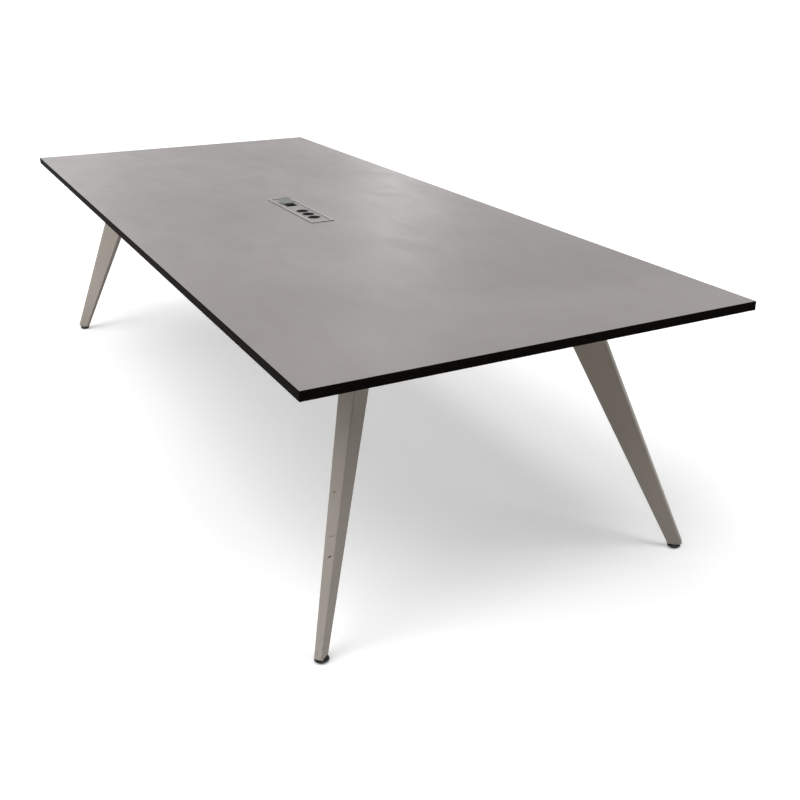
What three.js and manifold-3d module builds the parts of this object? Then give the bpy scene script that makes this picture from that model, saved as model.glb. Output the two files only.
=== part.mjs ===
// Conference table: a laminated top with a power module in the middle, on a steel underframe
// with four raked blade legs and screw-adjusted feet. Millimetres, X along the table,
// Y across it, Z up from the floor, origin on the floor under the middle of the top.

import * as THREE from 'three';
import { mergeVertices } from 'three/addons/utils/BufferGeometryUtils.js';
import Module from 'manifold-3d';

const wasm = await Module();
wasm.setup();

// Driving dimensions of the top
const tableLength = 3000;
const tableWidth = 1200;
const tableHeight = 745;
const coreThickness = 22;
const laminateThickness = 0.5;
const edgeBandThickness = 2;
const edgeArrisRadius = 1.5;

// Driving dimensions of the legs, given at the leg's foot and at the underside of the top
const footFromLongSide = 65;
const footFromEnd = 128;
const legRake = 342;
const legBottom = 12;
const legDepthAtFoot = 42;
const legDepthAtTop = 106;
const legThicknessAtFoot = 20;
const legThicknessAtTop = 46.5;
const legWall = 2.5;
const legEdgeRadius = 3;
const legOffsetOverFoot = 3;
const legToeChamfer = 8;
const legTurn = 3.5;
const plugLift = 3;
const plugLength = 22;

// Driving dimensions of the levelling feet
const padDiameter = 37;
const padHeight = 9;
const padFootDiameter = 27;
const padConeHeight = 5;
const padTopRadius = 2;
const padSocketDepth = 4;
const stemDiameter = 10;
const stemTop = 37;
const collarAcrossFlats = 17;
const collarHeight = 2.4;

// Driving dimensions of the underframe
const railSize = 40;
const railWall = 2;
const railCornerRadius = 3;
const railOverhang = 85;
const middleRailOffset = 420;
const legPlateSize = 170;
const legPlateThickness = 8;
const legPlateCornerRadius = 10;
const boltReach = 60;
const boltDiameter = 8;
const boltHeadAcrossFlats = 13;
const boltHeadHeight = 5.3;
const boltShankLength = 20;
const screwDiameter = 5;
const screwHeadDiameter = 10;
const screwHeadHeight = 3;
const screwHeadChamfer = 1;
const screwLength = 17;
const screwPointLength = 4;
const screwAccessDiameter = 14;
const screwPitch = 730;

// Driving dimensions of the power module
const moduleLength = 404;
const moduleWidth = 80;
const bezelHeight = 2.4;
const bezelRimWidth = 5;
const bezelSkirtWall = 2.5;
const bezelSkirtDepth = 14;
const bezelCornerRadius = 4;
const moduleInnerRadius = 2;
const faceRecess = 2;
const facePlateThickness = 2;
const housingDepth = 58;
const housingWall = 1.5;
const socketCentres = [126, 74, 22];
const socketRecessDiameter = 38;
const socketRimDiameter = 42;
const socketRimHeight = 0.8;
const socketRimChamfer = 0.5;
const socketRecessDepth = 17;
const socketBodyDiameter = 46;
const socketBodyHeight = 38;
const socketPinHoleDiameter = 5.2;
const socketPinSpacing = 19;
const socketPinHoleDepth = 18;
const bayCentre = -84;
const baySize = 40;
const bayWall = 2;
const bayDepth = 12;
const bayRimHeight = 0.3;
const dataBlockHeight = 30;
const jackWidth = 12;
const jackHeight = 9;
const jackDepth = 14;
const jackSpacing = 16;
const flapLength = 46;
const flapWidth = 45;
const flapThickness = 2;
const flapRest = 12;
const flapCornerRadius = 3;
const flapNeckOverlap = 2;
const flapHingeGap = 1;
const flapPinDiameter = 1.6;
const flapBarrelDiameter = 3.6;
const flapBarrelWidth = 26;
const flapEarWidth = 6;
const clampReach = 18;
const clampWidth = 44;
const clampThickness = 2;
const clampDrop = 22;
const glandBore = 10;
const glandDiameter = 22;
const glandNeckDiameter = 16;
const glandLength = 16;
const glandLip = 2;
const glandTaper = 5;
const glandNeckRise = 4;
const glandCentre = 172;

// Room between pieces that turn, slide or are fitted into one another
const clearance = 0.3;

// How far a cutting tool stands past the face that it cuts, and how finely round shapes are divided
const overrun = 1;
const arcSteps = 4;
const tubeArcSteps = 2;
const legArcSteps = 3;
const legInnerRadius = 0.4;
const wideSides = 28;
const roundSides = 24;
const stemSides = 20;
const smallSides = 16;
const holeSides = 12;
const hexSides = 6;
const weldDistance = 1e-4;

// Heights and places that follow from the driving dimensions
const topThickness = coreThickness + 2 * laminateThickness;
const underside = tableHeight - topThickness;
const coreBottom = underside + laminateThickness;
const coreTop = tableHeight - laminateThickness;
const footX = tableLength / 2 - footFromEnd;
const footY = tableWidth / 2 - footFromLongSide;
const railBottom = underside - railSize;
const legTop = railBottom - legPlateThickness;
const turnAngle = THREE.MathUtils.degToRad(legTurn);
const headShare = (legTop - legBottom) / (underside - legBottom);
const headInset = (legRake * headShare - legOffsetOverFoot) / Math.SQRT2;
const headX = footX - headInset;
const headY = footY - headInset;
const moduleCutLength = moduleLength - 2 * bezelRimWidth;
const moduleCutWidth = moduleWidth - 2 * bezelRimWidth;
const skirtLength = moduleCutLength - 2 * clearance;
const skirtWidth = moduleCutWidth - 2 * clearance;
const faceTop = tableHeight + bezelHeight - faceRecess;
const faceBottom = faceTop - facePlateThickness;
const housingBottom = faceBottom - housingDepth;

const finish = (color, roughness, metalness = 0) =>
  new THREE.MeshStandardMaterial({ color, roughness, metalness });
const laminateGrey = finish(0xa5a09d, 0.42);
const boardBrown = finish(0xb59a74, 0.85);
const backingGrey = finish(0x8f8c88, 0.6);
const edgeBlack = finish(0x131211, 0.38);
const legTaupe = finish(0x9a948b, 0.5);
const frameBlack = finish(0x2a2a2a, 0.55);
const zincSteel = finish(0xb8babc, 0.35, 1);
const glideBlack = finish(0x141414, 0.55);
const plugBlack = finish(0x1d1d1d, 0.6);
const moduleSilver = finish(0xb9b6b2, 0.38, 0.6);
const faceSilver = finish(0xaaa6a2, 0.45, 0.5);
const socketBlack = finish(0x1a1a1b, 0.45);
const flapGrey = finish(0x8b938b, 0.35);
const housingGrey = finish(0x6f7173, 0.5, 0.8);

// Solid helpers: closed three.js geometries are joined and cut, and come back as geometries

function solidOf(geometry) {
  const bare = geometry.clone();
  bare.deleteAttribute('normal');
  bare.deleteAttribute('uv');
  const merged = mergeVertices(bare, weldDistance);
  return new wasm.Manifold(new wasm.Mesh({
    numProp: 3,
    vertProperties: new Float32Array(merged.attributes.position.array),
    triVerts: new Uint32Array(merged.index.array),
  }));
}

function geometryOf(solid) {
  const mesh = solid.getMesh();
  const geometry = new THREE.BufferGeometry();
  geometry.setAttribute('position', new THREE.BufferAttribute(mesh.vertProperties, mesh.numProp));
  geometry.setIndex(new THREE.BufferAttribute(mesh.triVerts, 1));
  geometry.computeVertexNormals();
  return geometry;
}

const cut = (geometry, ...tools) =>
  geometryOf(tools.reduce((solid, tool) => solid.subtract(solidOf(tool)), solidOf(geometry)));
const join = (geometry, ...others) =>
  geometryOf(others.reduce((solid, other) => solid.add(solidOf(other)), solidOf(geometry)));
const common = (geometry, other) => geometryOf(solidOf(geometry).intersect(solidOf(other)));

// A box from its lowest corner to its highest
function block(x0, y0, z0, x1, y1, z1) {
  return new THREE.BoxGeometry(x1 - x0, y1 - y0, z1 - z0)
    .translate((x0 + x1) / 2, (y0 + y1) / 2, (z0 + z1) / 2);
}

// An upright cylinder or prism between two heights
function column(diameter, z0, z1, x = 0, y = 0, divisions = roundSides) {
  return new THREE.CylinderGeometry(diameter / 2, diameter / 2, z1 - z0, divisions)
    .rotateX(Math.PI / 2)
    .translate(x, y, (z0 + z1) / 2);
}

// A hexagonal prism, sized across its flats
const hexColumn = (acrossFlats, z0, z1, x = 0, y = 0) =>
  column(acrossFlats / Math.cos(Math.PI / hexSides), z0, z1, x, y, hexSides);

function roundedRectangle(width, height, radius, x = 0, y = 0) {
  const right = x + width / 2;
  const top = y + height / 2;
  const left = x - width / 2;
  const bottom = y - height / 2;
  return new THREE.Shape()
    .moveTo(left + radius, bottom)
    .lineTo(right - radius, bottom)
    .absarc(right - radius, bottom + radius, radius, -Math.PI / 2, 0)
    .lineTo(right, top - radius)
    .absarc(right - radius, top - radius, radius, 0, Math.PI / 2)
    .lineTo(left + radius, top)
    .absarc(left + radius, top - radius, radius, Math.PI / 2, Math.PI)
    .lineTo(left, bottom + radius)
    .absarc(left + radius, bottom + radius, radius, Math.PI, 1.5 * Math.PI);
}

// A flat outline raised from one height to another
function slab(shape, z0, z1, curveSegments = arcSteps) {
  return new THREE.ExtrudeGeometry(shape, { depth: z1 - z0, bevelEnabled: false, curveSegments })
    .translate(0, 0, z0);
}

// An outline drawn in Y and Z, run along X
function runAlongX(shape, x0, x1, curveSegments = arcSteps) {
  return new THREE.ExtrudeGeometry(shape, { depth: x1 - x0, bevelEnabled: false, curveSegments })
    .rotateY(Math.PI / 2)
    .rotateX(Math.PI / 2)
    .translate(x0, 0, 0);
}

// An outline drawn in X and Z, run across the table
function runAcross(shape, width) {
  return new THREE.ExtrudeGeometry(shape, { depth: width, bevelEnabled: false })
    .rotateX(Math.PI / 2)
    .translate(0, width / 2, 0);
}

// A turned piece from an outline of radius and height
const corners = (outline) => outline.map(([radius, z]) => new THREE.Vector2(radius, z));
const turned = (points, divisions = roundSides) =>
  new THREE.LatheGeometry(points, divisions).rotateX(Math.PI / 2);

// A straight-sided body between two horizontal outlines with the same number of points
function loft(lower, lowerZ, upper, upperZ) {
  const count = lower.length;
  const positions = [];
  lower.forEach((point) => positions.push(point.x, point.y, lowerZ));
  upper.forEach((point) => positions.push(point.x, point.y, upperZ));
  const triangles = [];
  for (let i = 0; i < count; i++) {
    const next = (i + 1) % count;
    triangles.push(i, next, count + next, i, count + next, count + i);
  }
  THREE.ShapeUtils.triangulateShape(lower, []).forEach(([a, b, c]) => {
    triangles.push(a, c, b, count + a, count + b, count + c);
  });
  const geometry = new THREE.BufferGeometry();
  geometry.setAttribute('position', new THREE.Float32BufferAttribute(positions, 3));
  geometry.setIndex(triangles);
  return geometry;
}

const table = new THREE.Group();
table.name = 'conference_table';

function add(parent, name, geometry, material, x = 0, y = 0, z = 0) {
  const mesh = new THREE.Mesh(geometry, material);
  mesh.name = name;
  mesh.position.set(x, y, z);
  parent.add(mesh);
  return mesh;
}

const sides = [{ name: 'front', sign: -1 }, { name: 'rear', sign: 1 }];
const ends = [{ name: 'left', sign: -1 }, { name: 'right', sign: 1 }];

// Top: core board, laminate above and below, and a black band on each edge

const screwPlaces = sides.flatMap(({ sign }) =>
  [-screwPitch, 0, screwPitch].map((x) => ({ x, y: sign * headY })));
const screwHoles = (z0, z1) =>
  screwPlaces.map(({ x, y }) => column(screwDiameter + 2 * clearance, z0, z1, x, y, holeSides));

// A sheet of the board's size, with an opening of its own for the module
function boardSheet(z0, z1, opening) {
  const halfLength = tableLength / 2 - edgeBandThickness;
  const halfWidth = tableWidth / 2 - edgeBandThickness;
  return cut(
    block(-halfLength, -halfWidth, z0, halfLength, halfWidth, z1),
    slab(opening, z0 - overrun, z1 + overrun),
  );
}

const moduleCut = roundedRectangle(moduleCutLength, moduleCutWidth, moduleInnerRadius);

const screwTip = railBottom + railSize - railWall + screwLength;
add(table, 'top_core', cut(boardSheet(coreBottom, coreTop, moduleCut),
  ...screwHoles(coreBottom - overrun, screwTip + overrun)), boardBrown);
add(table, 'top_backing', cut(boardSheet(underside, coreBottom, moduleCut),
  ...screwHoles(underside - overrun, coreBottom + overrun)), backingGrey);

// The laminate stops at the module's outline, so that the bezel is let in down to the core
const laminateCut = roundedRectangle(
  moduleLength + 2 * clearance, moduleWidth + 2 * clearance, bezelCornerRadius + clearance);
add(table, 'top_laminate', boardSheet(coreTop, tableHeight, laminateCut), laminateGrey);

// A band's section is square inside and has rounded arrises outside; the long bands' ends
// follow the top's corners
function edgeBand(length) {
  const arris = edgeArrisRadius;
  const flat = edgeBandThickness - arris;
  const section = new THREE.Shape()
    .moveTo(0, underside)
    .lineTo(flat, underside)
    .absarc(flat, underside + arris, arris, -Math.PI / 2, 0)
    .lineTo(edgeBandThickness, tableHeight - arris)
    .absarc(flat, tableHeight - arris, arris, 0, Math.PI / 2)
    .lineTo(0, tableHeight);
  return runAlongX(section, -length / 2, length / 2);
}

function roundEndedBand() {
  const end = tableLength / 2;
  const round = edgeBandThickness;
  const plan = new THREE.Shape()
    .moveTo(-end, 0)
    .lineTo(end, 0)
    .absarc(end - round, 0, round, 0, Math.PI / 2)
    .lineTo(round - end, edgeBandThickness)
    .absarc(round - end, 0, round, Math.PI / 2, Math.PI);
  return common(edgeBand(tableLength), slab(plan, underside - overrun, tableHeight + overrun));
}

sides.forEach(({ name, sign }) => {
  const band = add(table, `edge_band_${name}`, roundEndedBand(), edgeBlack);
  band.position.y = sign * (tableWidth / 2 - edgeBandThickness);
  if (sign < 0) band.rotation.z = Math.PI;
});
ends.forEach(({ name, sign }) => {
  const band = add(table, `edge_band_${name}`, edgeBand(tableWidth - 2 * edgeBandThickness), edgeBlack);
  band.position.x = sign * (tableLength / 2 - edgeBandThickness);
  band.rotation.z = -sign * Math.PI / 2;
});

// Underframe: two side rails along the table and four rails across between them

function squareTube(length) {
  const middle = railBottom + railSize / 2;
  const hollow = railSize - 2 * railWall;
  const section = roundedRectangle(railSize, railSize, railCornerRadius, 0, middle);
  section.holes.push(roundedRectangle(hollow, hollow, railCornerRadius - railWall, 0, middle));
  return runAlongX(section, -length / 2, length / 2, tubeArcSteps);
}

const boltHole = (x, y) => column(
  boltDiameter + 2 * clearance, legTop - overrun, railBottom + railWall + overrun, x, y, holeSides);

function sideRail(y) {
  const length = 2 * (headX + railOverhang);
  const holes = screwPlaces.filter((place) => place.y === y).flatMap(({ x }) => [
    column(screwAccessDiameter, railBottom - overrun, railBottom + railWall + overrun, x, 0, smallSides),
    column(screwDiameter + 2 * clearance, underside - railWall - overrun, underside + overrun,
      x, 0, holeSides),
  ]);
  const bolts = ends.map(({ sign }) => boltHole(sign * (headX - boltReach), 0));
  return cut(squareTube(length), ...holes, ...bolts);
}

function crossRail(bolted) {
  const length = 2 * headY - railSize;
  const bolts = sides.map(({ sign }) => boltHole(sign * (headY - boltReach), 0));
  return bolted ? cut(squareTube(length), ...bolts) : squareTube(length);
}

sides.forEach(({ name, sign }) => {
  add(table, `side_rail_${name}`, sideRail(sign * headY), frameBlack, 0, sign * headY);
});
ends.forEach(({ name, sign }) => {
  const endRail = add(table, `end_rail_${name}`, crossRail(true), frameBlack, sign * headX);
  endRail.rotation.z = Math.PI / 2;
  const middleRail = add(table, `middle_rail_${name}`, crossRail(false), frameBlack, sign * middleRailOffset);
  middleRail.rotation.z = Math.PI / 2;
});

// Wood screws bear on the upper wall inside the side rails and run up into the board
function woodScrew() {
  const seat = underside - railWall;
  const neck = screwDiameter / 2;
  const head = screwHeadDiameter / 2;
  return turned(corners([
    [0, seat - screwHeadHeight],
    [head - screwHeadChamfer, seat - screwHeadHeight],
    [head, seat - screwHeadHeight + screwHeadChamfer],
    [head, seat],
    [neck, seat],
    [neck, screwTip - screwPointLength],
    [0, screwTip],
  ]), holeSides);
}
screwPlaces.forEach(({ x, y }, index) => {
  add(table, `top_screw_${index + 1}`, woodScrew(), zincSteel, x, y);
});

// Legs: each leans in along a corner diagonal, and its blade is turned off that diagonal towards the
// long side. In its group +X points out along the blade and the origin is on the floor under the foot.

// The leg's outline at a height, shrunk all round by an inset; mirrored legs have the other hand
function legOutline(z, inset, hand) {
  const share = (z - legBottom) / (underside - legBottom);
  const depth = THREE.MathUtils.lerp(legDepthAtFoot, legDepthAtTop, share) - 2 * inset;
  const thickness = THREE.MathUtils.lerp(legThicknessAtFoot, legThicknessAtTop, share) - 2 * inset;
  const radius = Math.max(legEdgeRadius - inset, legInnerRadius);
  const lean = legOffsetOverFoot - legRake * share;
  const x = lean * Math.cos(turnAngle);
  const y = -hand * lean * Math.sin(turnAngle);
  return roundedRectangle(depth, thickness, radius, x, y).extractPoints(legArcSteps).shape.slice(0, -1);
}

const legBody = (z0, z1, inset, hand) =>
  loft(legOutline(z0, inset, hand), z0, legOutline(z1, inset, hand), z1);

// Takes off the outer corner of the foot at 45 degrees; the inset is for what lies inside the leg
function toeWedge(inset) {
  const toe = legOffsetOverFoot + legDepthAtFoot / 2;
  const edge = toe - legToeChamfer - inset * Math.SQRT2;
  const reach = toe + overrun;
  const outline = new THREE.Shape()
    .moveTo(edge - overrun, legBottom - overrun)
    .lineTo(reach, legBottom - overrun)
    .lineTo(reach, legBottom + reach - edge);
  return runAcross(outline, 2 * legThicknessAtFoot);
}

// A hollow blade of folded sheet, open at its foot and at its head
function bladeLeg(hand) {
  const hollow = cut(legBody(legBottom - overrun, legTop + overrun, legWall, hand), toeWedge(legWall));
  return cut(legBody(legBottom, legTop, 0, hand), toeWedge(0), hollow);
}

function legPlug(hand) {
  const lower = legBottom + plugLift;
  const upper = lower + plugLength;
  return cut(
    legBody(lower, upper, legWall + clearance, hand),
    toeWedge(legWall + clearance),
    column(stemDiameter + 2 * clearance, lower - overrun, upper + overrun, 0, 0, stemSides),
  );
}

// The stem turns in the pad's socket; its hex collar takes a spanner
function footStem() {
  const collarTop = legBottom - clearance;
  const thread = column(stemDiameter, padHeight - padSocketDepth + clearance, stemTop, 0, 0, stemSides);
  return join(thread, hexColumn(collarAcrossFlats, collarTop - collarHeight, collarTop));
}

// A round glide with a tapered foot, a rounded top edge and a socket in its middle
function footPad() {
  const radius = padDiameter / 2;
  const socketRadius = stemDiameter / 2 + clearance;
  const outline = new THREE.Path()
    .moveTo(0, 0)
    .lineTo(padFootDiameter / 2, 0)
    .lineTo(radius, padConeHeight)
    .lineTo(radius, padHeight - padTopRadius)
    .absarc(radius - padTopRadius, padHeight - padTopRadius, padTopRadius, 0, Math.PI / 2)
    .lineTo(socketRadius, padHeight)
    .lineTo(socketRadius, padHeight - padSocketDepth)
    .lineTo(0, padHeight - padSocketDepth);
  return turned(outline.getPoints(tubeArcSteps), wideSides);
}

// The plate's bolts go up into the side rail and the end rail, on the inner sides of the leg's head
function legPlate(endSign, sideSign) {
  const outline = roundedRectangle(legPlateSize, legPlateSize, legPlateCornerRadius);
  const plate = slab(outline, legTop, railBottom);
  return cut(plate, boltHole(-endSign * boltReach, 0), boltHole(0, -sideSign * boltReach));
}

function hexBolt() {
  const shank = column(boltDiameter, legTop - overrun, legTop + boltShankLength, 0, 0, smallSides);
  return join(hexColumn(boltHeadAcrossFlats, legTop - boltHeadHeight, legTop), shank);
}

sides.forEach((side) => ends.forEach((end) => {
  const corner = `${side.name}_${end.name}`;
  const hand = side.sign * end.sign;
  const leg = new THREE.Group();
  leg.position.set(end.sign * footX, side.sign * footY, 0);
  leg.rotation.z = Math.atan2(side.sign, end.sign) + hand * turnAngle;
  table.add(leg);
  add(leg, `leg_${corner}`, bladeLeg(hand), legTaupe);
  add(leg, `leg_plug_${corner}`, legPlug(hand), plugBlack);
  add(leg, `foot_stem_${corner}`, footStem(), zincSteel);
  add(leg, `foot_pad_${corner}`, footPad(), glideBlack);

  const x = end.sign * headX;
  const y = side.sign * headY;
  add(table, `leg_plate_${corner}`, legPlate(end.sign, side.sign), legTaupe, x, y);
  add(table, `side_bolt_${corner}`, hexBolt(), zincSteel, x - end.sign * boltReach, y);
  add(table, `end_bolt_${corner}`, hexBolt(), zincSteel, x, y - side.sign * boltReach);
}));

// Power module, let into the middle of the top

const innerLength = skirtLength - 2 * bezelSkirtWall;
const innerWidth = skirtWidth - 2 * bezelSkirtWall;
const faceLength = innerLength - 2 * clearance;
const faceWidth = innerWidth - 2 * clearance;
const hingeX = bayCentre - baySize / 2 - flapBarrelDiameter / 2 - flapHingeGap;
const hingeZ = faceTop + flapBarrelDiameter / 2 + 2 * clearance;

// A flat frame that lies on the core, with a skirt down into the cut-out
function moduleBezel() {
  const rimTop = tableHeight + bezelHeight;
  const skirtBottom = coreTop - bezelSkirtDepth;
  const frame = roundedRectangle(moduleLength, moduleWidth, bezelCornerRadius);
  const skirt = roundedRectangle(skirtLength, skirtWidth, bezelCornerRadius);
  const opening = roundedRectangle(innerLength, innerWidth, moduleInnerRadius);
  return cut(
    join(slab(frame, coreTop, rimTop), slab(skirt, skirtBottom, coreTop + overrun)),
    slab(opening, skirtBottom - overrun, rimTop + overrun),
  );
}
add(table, 'module_bezel', moduleBezel(), moduleSilver);

// An upright disc with its axis across the table
const crossDisc = (diameter, y0, y1, divisions) =>
  column(diameter, y0, y1, 0, 0, divisions).rotateX(-Math.PI / 2).translate(hingeX, 0, hingeZ);

function facePlate() {
  const plate = slab(roundedRectangle(faceLength, faceWidth, moduleInnerRadius), faceBottom, faceTop);
  const openings = socketCentres.map((x) =>
    column(socketRimDiameter + 2 * clearance, faceBottom - overrun, faceTop + overrun, x, 0));
  const halfBay = baySize / 2 + clearance;
  openings.push(block(bayCentre - halfBay, -halfBay, faceBottom - overrun,
    bayCentre + halfBay, halfBay, faceTop + overrun));
  const earRadius = flapBarrelDiameter / 2;
  const ears = sides.map(({ sign }) => {
    const middle = sign * ((flapBarrelWidth + flapEarWidth) / 2 + clearance);
    const [y0, y1] = [middle - flapEarWidth / 2, middle + flapEarWidth / 2];
    return join(
      crossDisc(flapBarrelDiameter, y0, y1, smallSides),
      block(hingeX - earRadius, y0, faceTop - overrun, hingeX + earRadius, y1, hingeZ),
    );
  });
  const pinBore = crossDisc(flapPinDiameter + 2 * clearance, -flapWidth, flapWidth, smallSides);
  return cut(join(cut(plate, ...openings), ...ears), pinBore);
}
add(table, 'module_face_plate', facePlate(), faceSilver);

// A round socket: a cup with two contact holes, hung under the face plate by its shoulder
function socketInsert() {
  const rim = socketRimDiameter / 2;
  const recess = socketRecessDiameter / 2;
  const body = socketBodyDiameter / 2;
  const shoulder = faceBottom - clearance;
  const floor = faceTop - socketRecessDepth;
  const rimTop = faceTop + socketRimHeight;
  const cup = turned(corners([
    [0, shoulder - socketBodyHeight],
    [body, shoulder - socketBodyHeight],
    [body, shoulder],
    [rim, shoulder],
    [rim, rimTop - socketRimChamfer],
    [rim - socketRimChamfer, rimTop],
    [recess + socketRimChamfer, rimTop],
    [recess, rimTop - socketRimChamfer],
    [recess, floor],
    [0, floor],
  ]));
  const contacts = ends.map(({ sign }) => column(socketPinHoleDiameter,
    floor - socketPinHoleDepth, floor + overrun, sign * socketPinSpacing / 2, 0, holeSides));
  return cut(cup, ...contacts);
}
socketCentres.forEach((x, index) => {
  add(table, `socket_${index + 1}`, socketInsert(), socketBlack, x);
});

// The data block fills the square bay: a tray with two jacks in its floor
function dataBlock() {
  const half = baySize / 2;
  const inner = half - bayWall;
  const floor = faceTop - bayDepth;
  const jacks = sides.map(({ sign }) => block(
    bayCentre - jackHeight / 2, sign * jackSpacing / 2 - jackWidth / 2, floor - jackDepth,
    bayCentre + jackHeight / 2, sign * jackSpacing / 2 + jackWidth / 2, floor + overrun,
  ));
  return cut(
    block(bayCentre - half, -half, faceTop - dataBlockHeight, bayCentre + half, half, faceTop + bayRimHeight),
    block(bayCentre - inner, -inner, floor, bayCentre + inner, inner, faceTop + overrun),
    ...jacks,
  );
}
add(table, 'data_block', dataBlock(), socketBlack);

// The dust flap rests open, leaning a little up from the face plate, and closes over the bay
function dataFlap() {
  const leafEdge = hingeX - flapBarrelDiameter / 2 - 2 * clearance;
  const leafMiddle = leafEdge - flapLength / 2;
  const [lower, upper] = [hingeZ - flapThickness / 2, hingeZ + flapThickness / 2];
  const halfBarrel = flapBarrelWidth / 2;
  const leaf = slab(roundedRectangle(flapLength, flapWidth, flapCornerRadius, leafMiddle, 0), lower, upper);
  const neck = block(leafEdge - flapNeckOverlap, -halfBarrel, lower, hingeX, halfBarrel, upper);
  const barrel = crossDisc(flapBarrelDiameter, -halfBarrel, halfBarrel, smallSides);
  const bore = crossDisc(flapPinDiameter + 2 * clearance, -flapWidth, flapWidth, smallSides);
  return cut(join(leaf, neck, barrel), bore)
    .translate(-hingeX, 0, -hingeZ)
    .rotateY(THREE.MathUtils.degToRad(flapRest))
    .translate(hingeX, 0, hingeZ);
}
add(table, 'data_flap', dataFlap(), flapGrey);

const pinReach = flapBarrelWidth / 2 + flapEarWidth;
add(table, 'flap_pin', crossDisc(flapPinDiameter, -pinReach, pinReach, holeSides), zincSteel);

// The housing is a tray under the face plate, with a hole for each gland in its floor
const glandPlaces = [{ name: 'power', x: glandCentre }, { name: 'data', x: -glandCentre }];

function moduleHousing() {
  const halfLength = faceLength / 2;
  const halfWidth = faceWidth / 2;
  const holes = glandPlaces.map(({ x }) => column(glandNeckDiameter + 2 * clearance,
    housingBottom - overrun, housingBottom + housingWall + overrun, x, 0, smallSides));
  return cut(
    slab(roundedRectangle(faceLength, faceWidth, moduleInnerRadius), housingBottom, faceBottom),
    block(housingWall - halfLength, housingWall - halfWidth, housingBottom + housingWall,
      halfLength - housingWall, halfWidth - housingWall, faceBottom + overrun),
    ...holes,
  );
}
add(table, 'module_housing', moduleHousing(), housingGrey);

// Each gland is a turned ring: a neck through the housing's floor and a domed nut under it
function cableGland() {
  const bore = glandBore / 2;
  const neck = glandNeckDiameter / 2;
  const nut = glandDiameter / 2;
  const lower = housingBottom - glandLength;
  const upper = housingBottom + housingWall + glandNeckRise;
  return turned(corners([
    [bore, lower],
    [bore + glandLip, lower],
    [nut, lower + glandTaper],
    [nut, housingBottom],
    [neck, housingBottom],
    [neck, upper],
    [bore, upper],
    [bore, lower],
  ]), smallSides);
}
glandPlaces.forEach(({ name, x }) => {
  add(table, `${name}_gland`, cableGland(), plugBlack, x);
});

// Bent clamps on the housing's ends grip the board from below
ends.forEach(({ name, sign }) => {
  const wall = faceLength / 2;
  const profile = new THREE.Shape()
    .moveTo(wall, underside - clampDrop)
    .lineTo(wall + clampThickness, underside - clampDrop)
    .lineTo(wall + clampThickness, underside - clampThickness)
    .lineTo(wall + clampReach, underside - clampThickness)
    .lineTo(wall + clampReach, underside)
    .lineTo(wall, underside);
  const clamp = add(table, `module_clamp_${name}`, runAcross(profile, clampWidth), zincSteel);
  if (sign < 0) clamp.rotation.z = Math.PI;
});

export default table;
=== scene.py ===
from math import cos, pi, radians, sin, tan

import bmesh
import bpy
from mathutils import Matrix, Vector


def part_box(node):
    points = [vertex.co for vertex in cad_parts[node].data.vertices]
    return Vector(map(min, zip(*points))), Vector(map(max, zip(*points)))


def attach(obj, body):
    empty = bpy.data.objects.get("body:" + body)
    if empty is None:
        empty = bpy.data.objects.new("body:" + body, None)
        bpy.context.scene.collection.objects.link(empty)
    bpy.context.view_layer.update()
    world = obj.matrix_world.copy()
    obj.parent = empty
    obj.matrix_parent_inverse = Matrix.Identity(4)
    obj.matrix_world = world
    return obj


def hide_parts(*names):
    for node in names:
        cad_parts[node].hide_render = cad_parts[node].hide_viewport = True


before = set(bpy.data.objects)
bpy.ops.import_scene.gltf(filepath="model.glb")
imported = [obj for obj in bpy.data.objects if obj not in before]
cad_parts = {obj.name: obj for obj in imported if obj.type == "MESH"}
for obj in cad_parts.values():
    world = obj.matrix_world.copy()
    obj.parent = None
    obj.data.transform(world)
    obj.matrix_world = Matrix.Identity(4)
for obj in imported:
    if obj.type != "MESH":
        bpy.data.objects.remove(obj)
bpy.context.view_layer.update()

scene = bpy.context.scene
scene.view_settings.view_transform = "Standard"
mm = 0.001
sides = {"front": -1, "rear": 1}
ends = {"left": -1, "right": 1}
corners = [side + "_" + end for side in sides for end in ends]
print("frame loaded:", len(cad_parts), "nodes")

# camera

viewpoint = dict(
    place=(3.2224, -1.2393, 1.4988),
    turn=(66.46, 0.06, 61.27),  # degrees
    focalPixels=1017.3,
    middlePixel=(436.5, 409.6),  # where the lens axis meets the picture
    picturePixels=800,
    sensorWidth=36,
    clipStart=10 * mm,
)


def setCamera(view):
    lens = bpy.data.cameras.new("photo camera")
    pixels = view["picturePixels"]
    lens.sensor_width = view["sensorWidth"]
    lens.lens = view["focalPixels"] * view["sensorWidth"] / pixels
    lens.shift_x = 0.5 - view["middlePixel"][0] / pixels
    lens.shift_y = view["middlePixel"][1] / pixels - 0.5
    lens.clip_start = view["clipStart"]
    camera = bpy.data.objects.new("photo camera", lens)
    camera.location = view["place"]
    camera.rotation_euler = [radians(angle) for angle in view["turn"]]
    scene.collection.objects.link(camera)
    scene.camera = camera


setCamera(viewpoint)
print("camera set")

# shader wires


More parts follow.
